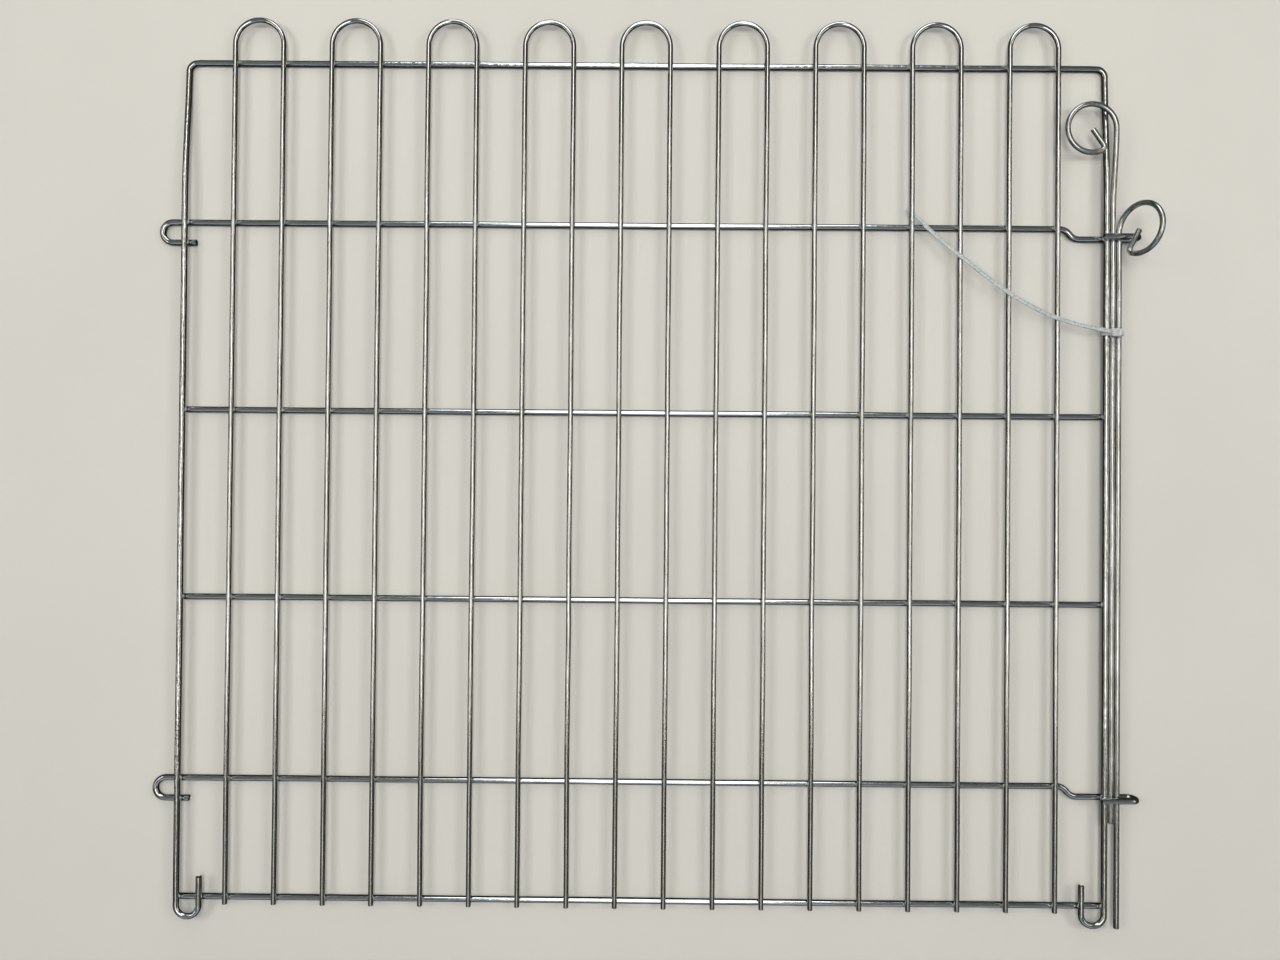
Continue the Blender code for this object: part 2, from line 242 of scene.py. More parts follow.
def resampled(points, step):
    """The same line, with long stretches cut up so that no stretch is longer than step."""
    line = [points[0]]
    for start, end in zip(points, points[1:]):
        count = max(1, math.ceil((end - start).length / step))
        line += [start.lerp(end, (index + 1) / count) for index in range(count)]
    return line


def distances(points):
    along = [0.0]
    for start, end in zip(points, points[1:]):
        along.append(along[-1] + (end - start).length)
    return along


def wavering(points, amount, seed):
    """The line with the slight waver of wire that has been straightened off a coil."""
    line = []
    for point, along in zip(points, distances(points)):
        place = Vector((along / WAVE_LENGTH, seed * 7.3, 0.5))
        aside = Vector((noise.noise(place), noise.noise(place + FRONT * 9), 0))
        line.append(point + aside * amount)
    return line


def through(anchors, samples):
    """A smooth line through the anchors, with this many points from each to the next."""
    ends = [anchors[0] * 2 - anchors[1], *anchors, anchors[-1] * 2 - anchors[-2]]
    points = []
    for before, start, end, after in zip(ends, ends[1:], ends[2:], ends[3:]):
        for step in range(samples):
            t = step / samples
            line = 2 * start + (end - before) * t
            line += (2 * before - 5 * start + 4 * end - after) * t**2
            line += (3 * (start - end) + after - before) * t**3
            points.append(line / 2)
    return points + [anchors[-1]]


def directions(points):
    """The way the line runs at each point."""
    steps = [(end - start).normalized() for start, end in zip(points, points[1:])]
    inner = [(before + after).normalized() for before, after in zip(steps, steps[1:])]
    return [steps[0], *inner, steps[-1]]


def carried_sides(points):
    """At each point the line's direction and two sides square to it, carried along with no twist."""
    ways = directions(points)
    side = ways[0].orthogonal().normalized()
    found = []
    for index, way in enumerate(ways):
        if index:
            side = ways[index - 1].rotation_difference(way) @ side
        side = (side - way * side.dot(way)).normalized()
        found.append((way, side, way.cross(side)))
    return found


# ---------------------------------------------------------------- meshes


def new_piece(name, shape, material):
    """A finished bmesh as an object, shaded smooth apart from its sharp edges."""
    bmesh.ops.recalc_face_normals(shape, faces=shape.faces)
    mesh = bpy.data.meshes.new(name)
    shape.to_mesh(mesh)
    shape.free()
    mesh.shade_smooth()
    mesh.set_sharp_from_angle(angle=SHARP_ANGLE)
    mesh.materials.append(material)
    obj = bpy.data.objects.new(name, mesh)
    bpy.context.scene.collection.objects.link(obj)
    return obj


def near(places, reach):
    """A measure from 1 at these places down to 0 at about twice this reach."""
    tree = kdtree.KDTree(len(places))
    for index, place in enumerate(places):
        tree.insert(place, index)
    tree.balance()
    return lambda point: math.exp(-((tree.find(point)[2] / reach) ** 2))


def dent_depth(dents, along, angle):
    """How far the bending tools pressed the wire in here."""
    depth = 0.0
    for at, facing, deep, width in dents:
        if abs(along - at) < 3 * width:
            side = max(0.0, math.cos(angle - facing))
            depth += deep * side * side * math.exp(-(((along - at) / width) ** 2))
    return depth


def sweep_wire(name, points, diameter, wires, material, dents=(), heat=None, rub=None, lumps=0.0):
    """A round wire with sheared ends. Each point of the mesh knows its place on the straightened wire."""
    radius = diameter / 2
    line = resampled(points, wires.ring_step)
    ways = directions(line)
    shear = wires.end_round
    # The ends: the last rings close in, and the last of all is where the shears met.
    start_rings = [(line[0] + ways[0] * shear * share, width) for share, width in END_ROUNDING]
    end_rings = [(line[-1] - ways[-1] * shear * share, width) for share, width in reversed(END_ROUNDING)]
    middle = [(point, 1.0) for point in line[1:-1]]
    rings = [*start_rings, *middle, *end_rings]
    centres = [centre for centre, _ in rings]
    along = distances(centres)
    sides = carried_sides(centres)
    shape = bmesh.new()
    straight_layer = shape.verts.layers.float_vector.new("straight")
    heat_layer = shape.verts.layers.float.new("heat")
    rub_layer = shape.verts.layers.float.new("rub")
    last = len(rings) - 1
    made = []
    for index, ((centre, width), (way, side, other)) in enumerate(zip(rings, sides)):
        ring = []
        hot = heat(centre) if heat else 0.0
        worn = rub(centre) if rub else 0.0
        for step in range(wires.sides):
            angle = math.tau * step / wires.sides
            outward = side * math.cos(angle) + other * math.sin(angle)
            reach = radius * width - dent_depth(dents, along[index], angle)
            if lumps:
                place = Vector((math.cos(angle), math.sin(angle), along[index] / LUMP_LENGTH))
                reach -= lumps * max(0.0, noise.noise(place * 1.3))
            point = centre + outward * reach
            if index in (0, last):
                # the shears close from one side, so that the cut face leans
                lean = (1 + math.cos(angle)) / 2 * wires.shear_lean * (1 if index == 0 else -1)
                point += way * lean
            vert = shape.verts.new(point)
            vert[straight_layer] = Vector(
                (radius * math.cos(angle), radius * math.sin(angle), along[index])
            )
            vert[heat_layer] = hot
            vert[rub_layer] = worn
            ring.append(vert)
        made.append(ring)
    for ring, following in zip(made, made[1:]):
        for step in range(wires.sides):
            after = (step + 1) % wires.sides
            shape.faces.new((ring[step], ring[after], following[after], following[step]))
    for ring in (made[0], made[-1]):
        shape.faces.new(ring)
    return new_piece(name, shape, material)


# ---------------------------------------------------------------- shader groups


def socket(group, name, kind, direction):
    return group.interface.new_socket(name=name, socket_type=kind, in_out=direction)


class Wiring:
    """Adds nodes to a tree, and links them as they are made."""

    def __init__(self, tree):
        self.tree = tree

    def node(self, kind, inputs=None, **settings):
        made = self.tree.nodes.new(kind)
        for name, value in settings.items():
            setattr(made, name, value)
        for name, value in (inputs or {}).items():
            self.feed(made.inputs[name], value)
        return made

    def feed(self, target, value):
        if isinstance(value, bpy.types.NodeSocket):
            self.tree.links.new(value, target)
        else:
            target.default_value = value

    def math(self, operation, first, second=0.0, clamp=False):
        made = self.node("ShaderNodeMath", {0: first, 1: second}, operation=operation)
        made.use_clamp = clamp
        return made.outputs[0]

    def mix(self, factor, first, second):
        made = self.node("ShaderNodeMix", data_type="RGBA")
        for target, value in zip((0, 6, 7), (factor, first, second)):
            self.feed(made.inputs[target], value)
        return made.outputs[2]

    def noise(self, vector, scale, detail=2.0, roughness=0.5):
        inputs = {"Vector": vector, "Scale": scale, "Detail": detail, "Roughness": roughness}
        return self.node("ShaderNodeTexNoise", inputs).outputs["Fac"]

    def stretch(self, vector, scale):
        inputs = {0: vector, 1: scale}
        return self.node("ShaderNodeVectorMath", inputs, operation="MULTIPLY").outputs[0]

    def band(self, value, low, high, start=0.0, end=1.0):
        """The value brought from one range to another, and held inside it."""
        inputs = {"Value": value, "From Min": low, "From Max": high, "To Min": start, "To Max": end}
        return self.node("ShaderNodeMapRange", inputs).outputs[0]


def drawn_zinc_group():
    """Zinc plate on drawn wire: die lines, plating lumps, stains at the welds and wear."""
    group = bpy.data.node_groups.get("Drawn Zinc")
    if group:
        return group
    group = bpy.data.node_groups.new("Drawn Zinc", "ShaderNodeTree")
    socket(group, "Place", "NodeSocketVector", "INPUT")
    socket(group, "Heat", "NodeSocketFloat", "INPUT")
    socket(group, "Rub", "NodeSocketFloat", "INPUT")
    socket(group, "Bright", "NodeSocketColor", "INPUT")
    socket(group, "Dull", "NodeSocketColor", "INPUT")
    socket(group, "Stain", "NodeSocketColor", "INPUT")
    socket(group, "Polish", "NodeSocketFloat", "INPUT")
    socket(group, "Beading", "NodeSocketFloat", "INPUT")
    socket(group, "Color", "NodeSocketColor", "OUTPUT")
    socket(group, "Roughness", "NodeSocketFloat", "OUTPUT")
    socket(group, "Height", "NodeSocketFloat", "OUTPUT")
    wiring = Wiring(group)
    given = wiring.node("NodeGroupInput").outputs
    place = given["Place"]
    clouds = wiring.noise(wiring.stretch(place, (1.0, 1.0, 0.25)), 160.0, 4.0, 0.55)
    patches = wiring.band(clouds, 0.38, 0.66)
    lines = wiring.noise(wiring.stretch(place, (1.0, 1.0, 0.012)), 5200.0, 3.0, 0.6)
    grains = wiring.noise(place, 2600.0, 2.0, 0.6)
    beads = wiring.noise(wiring.stretch(place, (1.0, 1.0, 0.55)), 430.0, 2.0, 0.5)
    pits = wiring.band(wiring.noise(place, 1500.0, 1.0, 0.5), 0.70, 0.78)
    heat = wiring.math("MULTIPLY", given["Heat"], wiring.band(grains, 0.2, 0.75, 0.55, 1.0), clamp=True)
    worn = wiring.math("MULTIPLY", given["Rub"], wiring.band(lines, 0.3, 0.7, 0.4, 1.0), clamp=True)
    plate = wiring.mix(patches, given["Bright"], given["Dull"])
    burnt = wiring.math("MULTIPLY", heat, 0.75)
    stain = wiring.math("ADD", burnt, wiring.math("MULTIPLY", pits, 0.5), clamp=True)
    colour = wiring.mix(stain, plate, given["Stain"])
    rubbed = wiring.mix(wiring.math("MULTIPLY", worn, 0.6), colour, given["Dull"])
    rough = wiring.math("ADD", given["Polish"], wiring.math("MULTIPLY", patches, 0.07))
    rough = wiring.math("ADD", rough, wiring.math("MULTIPLY", heat, 0.16))
    rough = wiring.math("ADD", rough, wiring.math("MULTIPLY", worn, 0.12))
    height = wiring.math("MULTIPLY", wiring.math("SUBTRACT", beads, 0.5), given["Beading"])
    height = wiring.math("ADD", height, wiring.math("MULTIPLY", lines, 0.05))
    height = wiring.math("ADD", height, wiring.math("MULTIPLY", wiring.math("MULTIPLY", grains, heat), 0.35))
    height = wiring.math("SUBTRACT", height, wiring.math("MULTIPLY", pits, 0.08))
    wiring.node("NodeGroupOutput", {"Color": rubbed, "Roughness": rough, "Height": height})
    return group


def zinc_material(name, finish, polish, beading, dull=None):
    """A wire's own zinc: how polished it is, and how lumpy the plating lies on it."""
    material = bpy.data.materials.new(name)
    material.use_nodes = True
    wiring = Wiring(material.node_tree)
    shader = material.node_tree.nodes["Principled BSDF"]
    place = wiring.node("ShaderNodeAttribute", attribute_name="straight").outputs["Vector"]
    heat = wiring.node("ShaderNodeAttribute", attribute_name="heat").outputs["Fac"]
    rub = wiring.node("ShaderNodeAttribute", attribute_name="rub").outputs["Fac"]
    plated = wiring.node("ShaderNodeGroup", node_tree=drawn_zinc_group())
    inputs = {
        "Place": place,
        "Heat": heat,
        "Rub": rub,
        "Bright": (*finish.bright, 1),
        "Dull": (*(dull or finish.dull), 1),
        "Stain": (*finish.stain, 1),
        "Polish": polish,
        "Beading": beading,
    }
    for key, value in inputs.items():
        wiring.feed(plated.inputs[key], value)
    bump = wiring.node("ShaderNodeBump", {"Height": plated.outputs["Height"]})
    bump.inputs["Strength"].default_value = 1.0
    bump.inputs["Distance"].default_value = finish.relief
    shader.inputs["Metallic"].default_value = 1.0
    wiring.feed(shader.inputs["Base Color"], plated.outputs["Color"])
    wiring.feed(shader.inputs["Roughness"], plated.outputs["Roughness"])
    wiring.feed(shader.inputs["Normal"], bump.outputs["Normal"])
    return material


def nylon_material(tie):
    """Natural nylon: milky, slightly clear, with flow marks along the strap."""
    material = bpy.data.materials.new("natural_nylon")
    material.use_nodes = True
    wiring = Wiring(material.node_tree)
    shader = material.node_tree.nodes["Principled BSDF"]
    place = wiring.node("ShaderNodeTexCoord").outputs["Object"]
    clouds = wiring.noise(place, 220.0, 3.0, 0.55)
    flow = wiring.noise(wiring.stretch(place, (0.35, 1.0, 1.0)), 1800.0, 2.0, 0.5)
    shade = tuple(channel * 0.86 for channel in tie.nylon)
    colour = wiring.mix(wiring.band(clouds, 0.35, 0.65), (*tie.nylon, 1), (*shade, 1))
    rough = wiring.band(flow, 0.3, 0.7, 0.22, 0.40)
    bump = wiring.node("ShaderNodeBump", {"Height": flow})
    bump.inputs["Distance"].default_value = 0.00003
    wiring.feed(shader.inputs["Base Color"], colour)
    wiring.feed(shader.inputs["Roughness"], rough)
    wiring.feed(shader.inputs["Normal"], bump.outputs["Normal"])
    shader.inputs["IOR"].default_value = 1.53
    shader.inputs["Transmission Weight"].default_value = 0.45
    return material


# ---------------------------------------------------------------- the wires' lines


def frame_line(wires):
    """The frame wire, from the left foot's tip to the right foot's tip."""
    radius = crossbar_wire() / 2
    left = upright_x(-1)
    middle = (upright_x(-1) + upright_x(1)) / 2
    foot_radius = wires.foot_spacing / 2
    level = upright_level()
    low = Vector((left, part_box("seated_pin")[0].y - wires.pin_tip_height, level))
    foot_centre = low + Vector((foot_radius, foot_radius + radius, 0))
    half = [low + Vector((wires.foot_spacing, wires.foot_tip_height, 0))]
    half += arc(foot_centre, foot_radius, 0, -math.pi, FOOT_STEPS)
    bend = wires.corner_radius
    corner_centre = Vector((left + bend, top_bar_height() - bend, level))
    step_foot = corner_centre - Vector((bend, wires.step_length, 0))
    rise = [step_foot + Vector((0, wires.step_length * n / RISE_STEPS, 0)) for n in range(RISE_STEPS)]
    step = rise + arc(corner_centre, bend, math.pi, math.pi / 2, CORNER_STEPS)
    rear = radius - level
    lengths = distances(step)
    for point, along in zip(step, lengths):
        point.z += rear * smooth(along / lengths[-1])
    half += step
    other = [Vector((2 * middle - point.x, point.y, point.z)) for point in reversed(half)]
    return half + other


def hairpin_line(node):
    radius = hairpin_wire() / 2
    low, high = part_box(node)
    left = low.x + radius
    right = high.x - radius
    bend = (right - left) / 2
    centre = Vector(((left + right) / 2, high.y - radius - bend, leg_level()))
    foot = Vector((left, low.y, leg_level()))
    other_foot = Vector((right, low.y, leg_level()))
    return [foot, *arc(centre, bend, math.pi, 0, ARCH_STEPS), other_foot]


def plain_line(node):
    low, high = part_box(node)
    middle = (low + high) / 2
    return [Vector((low.x, middle.y, middle.z)), Vector((high.x, middle.y, middle.z))]


def hinge_line(node, wires):
    """A hinge bar, from the D-eye's cut end to the slot eye's."""
    low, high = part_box(node)
    radius = crossbar_wire() / 2
    height = bar_height(node)
    level = radius
    spacing = eye_spacing()
    bend = spacing / 2
    left = upright_x(-1)
    right = upright_x(1)
    eye_centre = Vector((low.x + radius + bend, height - bend, level))
    line = [Vector((left + wires.eye_return, height - spacing, level))]
    line += arc(eye_centre, bend, -math.pi / 2, -3 * math.pi / 2, EYE_STEPS)
    line += jog_line(right - wires.jog_distance - wires.jog_length, height, level, wires)
    turn = slot_radius()
    tip_x = high.x - radius - turn
    for index in range(SLOT_STEPS + 1):
        angle = -math.pi / 2 + math.pi * index / SLOT_STEPS
        aside = Vector((turn * math.cos(angle), 0, turn + turn * math.sin(angle)))
        line.append(Vector((tip_x, height - bend, level)) + aside)
    line.append(Vector((right - wires.slot_return, height - bend, level + 2 * turn)))
    return line


def jog_line(start_x, height, level, wires):
    """The S-shaped step down to the middle of the D-eye."""
    drop = eye_spacing() / 2
    angle = 2 * math.atan2(drop, wires.jog_length)
    radius = wires.jog_length / 2 / math.sin(angle)
    upper = Vector((start_x, height - radius, level))
    lower = Vector((start_x + wires.jog_length, height + radius - drop, level))
    quarter = math.pi / 2
    first = arc(upper, radius, quarter, quarter - angle, JOG_STEPS)
    second = arc(lower, radius, 3 * quarter - angle, 3 * quarter, JOG_STEPS)
    return first + second[1:]


def pin_line(wires, shaft, lean):
    """A pin about its shaft's axis at the height of its ring, with the ring towards -x."""
    ring = wires.ring_radius
    ring_centre = Vector((-ring, 0, lean))
    bend_distance = ring - wires.tail_bend
    bend_angle = math.asin(wires.tail_bend / bend_distance)
    ring_end = wires.ring_sweep - bend_angle
    outward = Vector((math.cos(ring_end), math.sin(ring_end), 0))
    line = [Vector((0, -shaft, 0))]
    if lean:
        neck = wires.neck_length
        shares = [index / NECK_STEPS for index in range(NECK_STEPS)]
        line += [Vector((0, -neck * (1 - share), lean * smooth(share))) for share in shares]
    line += arc(ring_centre, ring, 0, ring_end, RING_STEPS)
    bend_centre = ring_centre + outward * bend_distance
    turned = wires.ring_sweep + math.pi / 2
    line += arc(bend_centre, wires.tail_bend, ring_end, turned, TAIL_BEND_STEPS)[1:]
    tail = Vector((math.cos(wires.ring_sweep), math.sin(wires.ring_sweep), 0))
    return line + [ring_centre + tail * wires.tail_stop]


def raised_pin_line(wires):
    low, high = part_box("raised_pin")
    radius = wires.pin_wire / 2
    shaft_x = high.x - radius
    level = low.z + radius
    ring_height = high.y - radius - wires.ring_radius
    lean = high.z - radius - level
    line = pin_line(wires, ring_height - low.y, lean)
    return [point + Vector((shaft_x, ring_height, level)) for point in line]


def seated_pin_line(wires):
    place = Vector(seated_joint()["pos_m"])
    turn = Matrix.Rotation(wires.seated_turn, 3, "Y")
    line = pin_line(wires, place.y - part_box("seated_pin")[0].y, 0)
    return [turn @ point + place for point in line]


# ---------------------------------------------------------------- settings


def size_setting(name, description, default):
    return FloatProperty(name=name, description=description, default=default, unit="LENGTH")


def turn_setting(name, description, default):
    return FloatProperty(name=name, description=description, default=default, unit="ROTATION")


def power_setting(name, description, default):
    return FloatProperty(name=name, description=description, default=default, unit="POWER")


def place_setting(name, description, default):
    return FloatVectorProperty(
        name=name, description=description, default=default, subtype="XYZ", unit="LENGTH"
    )


def colour_setting(name, description, default):
    return FloatVectorProperty(
        name=name, description=description, default=default, subtype="COLOR", min=0, max=1
    )


class WireSettings(bpy.types.PropertyGroup):
    """Sizes of the wires that their boxes in the frame don't give."""

    sides: IntProperty(name="Sides", description="Facets round a wire", default=24, min=8)
    ring_step: size_setting("Ring Step", "Longest stretch of wire between rings", 0.004)
    waver: size_setting("Waver", "How far a wire strays from straight", 0.00022)
    end_round: size_setting("End Rounding", "Length over which a cut end closes in", 0.0004)
    shear_lean: size_setting("Shear Lean", "How far a cut face leans", 0.00035)
    foot_spacing: size_setting("Foot Spacing", "Between a foot's two legs", 0.014)
    foot_tip_height: size_setting("Foot Tip Height", "Of a foot's cut end", 0.0265)
    corner_radius: size_setting("Corner Radius", "Of the frame wire's top corners", 0.0055)
    step_length: size_setting("Step Length", "Of upright that steps to the back", 0.08)
    eye_return: size_setting("Eye Return", "Of the D-eye's cut end past the upright", 0.0059)
    jog_length: size_setting("Jog Length", "Of the S-shaped step", 0.0125)
    jog_distance: size_setting("Jog Distance", "From the step to the right upright", 0.0153)
    slot_return: size_setting("Slot Return", "Of the slot eye's cut end past the upright", 0.0036)
    pin_wire: size_setting("Pin Wire", "Diameter of the pins", 0.0032)
    pin_tip_height: size_setting("Pin Tip Height", "Of the seated pin above the feet", 0.0005)
    ring_radius: size_setting("Ring Radius", "Of the pins' rings", 0.015)
    ring_sweep: turn_setting("Ring Sweep", "Of the ring up to its tail", math.radians(305))
    tail_bend: size_setting("Tail Bend", "Radius at the tail", 0.0026)
    tail_stop: size_setting("Tail Stop", "From the ring's middle to the cut end", 0.0006)
    neck_length: size_setting("Neck Length", "Of the raised pin's sprung neck", 0.05)
    seated_turn: turn_setting("Seated Turn", "Of the seated pin's ring", math.radians(113))


class ZincSettings(bpy.types.PropertyGroup):
    """The zinc plating's colours and relief."""

    bright: colour_setting("Bright", "Fresh plating", (0.80, 0.81, 0.82))
    dull: colour_setting("Dull", "Dulled plating", (0.62, 0.61, 0.57))
    pin_dull: colour_setting("Pin Dull", "Handled pins", (0.50, 0.50, 0.48))
    stain: colour_setting("Stain", "At welds and pits", (0.22, 0.20, 0.17))
    relief: size_setting("Relief", "Of the plating's lumps", 0.00012)


class TieSettings(bpy.types.PropertyGroup):
    """The cable tie's sizes and colour."""

    width: size_setting("Strap Width", "Of the strap", 0.0025)
    thickness: size_setting("Strap Thickness", "Of the strap", 0.0009)
    clearance: size_setting("Clearance", "From the loop to the wires in it", 0.0003)
    tooth_pitch: size_setting("Tooth Pitch", "From tooth to tooth", 0.001)
    tip_length: size_setting("Tip Length", "Of the tapered tip", 0.012)
    head: place_setting("Head", "Size of the head", (0.0058, 0.0048, 0.0036))
    nylon: colour_setting("Nylon", "The nylon's colour", (0.80, 0.83, 0.84))


class StudioSettings(bpy.types.PropertyGroup):
    """The camera, floor and lights."""

    camera_place: place_setting("Camera", "Place of the camera", (-0.00098, -0.0113, 0.5798))
    camera_tilt: FloatVectorProperty(
        name="Camera Tilt",
        description="Off straight down",
        default=(math.radians(0.52), math.radians(0.24), math.radians(0.51)),
        subtype="EULER",
    )
    lens: FloatProperty(name="Lens", description="Focal length in millimetres", default=26.0)
    floor: colour_setting("Floor", "Colour of the floor", (0.63, 0.61, 0.57))
    # a painted dark reflection: the floor's colour in the wires' mirror rays, near black, which paints shade
    # along the wires' edges
    painted_dark_reflection: colour_setting("Mirrored Floor", "Floor as the wires mirror it", (0.018, 0.018, 0.014))
    ceiling_power: power_setting("Ceiling", "Power", 11.5)
    far_power: power_setting("Far Ceiling", "Power", 1.3)
    back_power: power_setting("Back Light", "Power", 12.0)
    side_power: power_setting("Side Lights", "Power of each", 2.4)
    front_power: power_setting("Front Light", "Power", 5.0)
    fill_power: power_setting("Fill", "Power of each", 7.0)


# ---------------------------------------------------------------- operators


def finish_piece(piece, body, slot, *nodes):
    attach(piece, body)
    if nodes:
        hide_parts(*nodes)
    return piece


class WIRERUN_OT_frame(bpy.types.Operator):
    """Builds the bent frame wire with its two feet"""

    bl_idname = "wirerun.frame"
    bl_label = "Frame Wire"

    def execute(self, context):
        wires = context.scene.wirerun_wires
        line = frame_line(wires)
        material = zinc_material("frame_zinc", context.scene.wirerun_zinc, polish=0.12, beading=1.6)
        middle = distances(line)[-1] / 2
        half_bar = (upright_x(1) - upright_x(-1)) / 2
        dents = []
        for side in (-1, 1):
            shoulder = middle + side * (half_bar + wires.corner_radius * SHOULDER_SHARE)
            dents.append((shoulder, math.pi * 0.5 * side, *SHOULDER_DENT))
            dents.append((shoulder - side * CLAMP_DISTANCE, math.pi, *CLAMP_DENT))
        piece = sweep_wire(
            "round_frame_wire",
            wavering(resampled(line, wires.ring_step), wires.waver, 1),
            crossbar_wire(),
            wires,
            material,
            dents=dents,
            heat=near(weld_places(), FRAME_HEAT),
            lumps=LUMP_DEPTH,
        )
        finish_piece(piece, "panel", "frame_zinc", "frame_wire", *FOOT_HOOKS)
        return {"FINISHED"}


class WIRERUN_OT_hairpins(bpy.types.Operator):
    """Builds the hairpin bars"""

    bl_idname = "wirerun.hairpins"
    bl_label = "Hairpin Bars"

    def execute(self, context):
        wires = context.scene.wirerun_wires
        material = zinc_material("hairpin_zinc", context.scene.wirerun_zinc, polish=0.11, beading=0.5)
        heat = near(weld_places(), HAIRPIN_HEAT)
        for number, node in enumerate(HAIRPINS, start=1):
            line = hairpin_line(node)
            leg = (line[1] - line[0]).length
            bend = (line[-1] - line[0]).length / 2
            dents = [(leg + bend * share, facing, *ARCH_DENT) for share, facing in ARCH_DENT_PLACES]
            piece = sweep_wire(
                f"round_hairpin_{number}",
                wavering(resampled(line, wires.ring_step), wires.waver, number + 3),
                hairpin_wire(),
                wires,
                material,
                dents=dents,
                heat=heat,
            )
            finish_piece(piece, "panel", "hairpin_zinc", node)
        return {"FINISHED"}


class WIRERUN_OT_crossbars(bpy.types.Operator):
    """Builds the plain crossbars, and the hinge bars with their eyes"""

    bl_idname = "wirerun.crossbars"
    bl_label = "Crossbars"

    def execute(self, context):
        wires = context.scene.wirerun_wires
        material = zinc_material("crossbar_zinc", context.scene.wirerun_zinc, polish=0.11, beading=0.4)
        heat = near(weld_places(), CROSSBAR_HEAT)
        lines = {node: plain_line(node) for node in PLAIN_BARS}
        lines.update({node: hinge_line(node, wires) for node in HINGE_BARS})
        for number, (node, line) in enumerate(lines.items(), start=20):
            tip = Vector((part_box(node)[1].x, line[-1].y, line[-1].z))
            piece = sweep_wire(
                f"round_{node}",
                wavering(resampled(line, wires.ring_step), wires.waver * CROSSBAR_WAVER, number),
                crossbar_wire(),
                wires,
                material,
                heat=heat,
                rub=near([tip], EYE_RUB) if node in HINGE_BARS else None,
            )
            finish_piece(piece, "panel", "crossbar_zinc", node)
        return {"FINISHED"}


class WIRERUN_OT_pins(bpy.types.Operator):
    """Builds the two connecting pins"""

    bl_idname = "wirerun.pins"
    bl_label = "Connecting Pins"

    def execute(self, context):
        wires = context.scene.wirerun_wires
        zinc = context.scene.wirerun_zinc
        material = zinc_material("pin_zinc", zinc, polish=0.17, beading=0.8, dull=zinc.pin_dull)
        lines = {"raised_pin": raised_pin_line(wires), "seated_pin": seated_pin_line(wires)}
        for node, line in lines.items():
            ring = line[-1]
            piece = sweep_wire(
                f"round_{node}",
                line,
                wires.pin_wire,
                wires,
                material,
                rub=near([ring, ring - Vector((0, HANDLED, 0))], HANDLED),
            )
            finish_piece(piece, f"{node}_body", "pin_zinc", node)
        return {"FINISHED"}


def add_nugget(shape, place, half, thick, seed, layers):
    """One weld's squeezed-out metal: a lumpy pillow between two crossing wires."""
    straight_layer, heat_layer, rub_layer = layers
    made = bmesh.ops.create_icosphere(shape, subdivisions=3, radius=1.0)["verts"]
    for vert in made:
        unit = vert.co.copy()
        x, y = (math.copysign(abs(value) ** NUGGET_SQUARENESS, value) for value in unit.xy)
        lump = 1 + NUGGET_LUMPS * noise.noise(unit * 1.7 + Vector((seed * 3.1, 0, 0)))
        vert.co = place + Vector((x * half * lump, y * half * lump, unit.z * thick * lump))
        vert[straight_layer] = unit * half + Vector((0, 0, seed * 0.01))
        vert[heat_layer] = NUGGET_HEAT
        vert[rub_layer] = 0.0


class WIRERUN_OT_welds(bpy.types.Operator):
    """Builds the weld nuggets where the wires cross"""

    bl_idname = "wirerun.welds"
    bl_label = "Welds"

    def execute(self, context):
        material = zinc_material("weld_zinc", context.scene.wirerun_zinc, polish=0.3, beading=0.8)
        shape = bmesh.new()
        layers = (
            shape.verts.layers.float_vector.new("straight"),
            shape.verts.layers.float.new("heat"),
            shape.verts.layers.float.new("rub"),
        )
        half = hairpin_wire() * NUGGET_SPREAD
        for seed, place in enumerate(weld_places()):
            add_nugget(shape, place, half, NUGGET_THICKNESS, seed, layers)
        piece = new_piece("weld_nuggets", shape, material)
        finish_piece(piece, "panel", "crossbar_zinc")
        return {"FINISHED"}


# ---------------------------------------------------------------- the cable tie


def strap_section(tie, tooth, width_share):
    """The strap across: two rails with the teeth between them, and a flat back."""
    x = tie.width / 2 * width_share
    y = tie.thickness / 2
    rail = x * RAIL_PLACE
    floor = y * (TOOTH_ROOT + TOOTH_HEIGHT * tooth)
    half = [(0, floor), (rail * RAIL_CREST, floor), (rail, y), (x * RAIL_CREST, y)]
    half += [(x, y * SIDE_SHARE), (x, -y * SIDE_SHARE), (x * BACK_SHARE, -y)]
    other = [(-across, up) for across, up in reversed(half[1:])]
    return half + other


def sweep_strap(points, faces, tie, teeth, tip_length, closed=False):
    """A strap whose broad face looks along faces. teeth says whether it shows them there."""
    shape = bmesh.new()
    along = distances(points)
    ways = directions(points)
    rings = []
    for point, way, face, at in zip(points, ways, faces, along):
        up = (face - way * face.dot(way)).normalized()
        across = way.cross(up)
        to_tip = along[-1] - at
        taper = min(1.0, TIP_WIDTH + (1 - TIP_WIDTH) * to_tip / tip_length) if tip_length else 1.0
        tooth = (at / tie.tooth_pitch) % 1.0 if teeth and to_tip > tip_length else SMOOTH_TOOTH
        section = strap_section(tie, tooth, taper)
        rings.append([shape.verts.new(point + across * x + up * y) for x, y in section])
    pairs = list(zip(rings, rings[1:]))
    if closed:
        pairs.append((rings[-1], rings[0]))
    for ring, following in pairs:
        count = len(ring)
        for index in range(count):
            after = (index + 1) % count
            shape.faces.new((ring[index], ring[after], following[after], following[index]))
    if not closed:
        shape.faces.new(rings[0])
        shape.faces.new(rings[-1])
    return shape


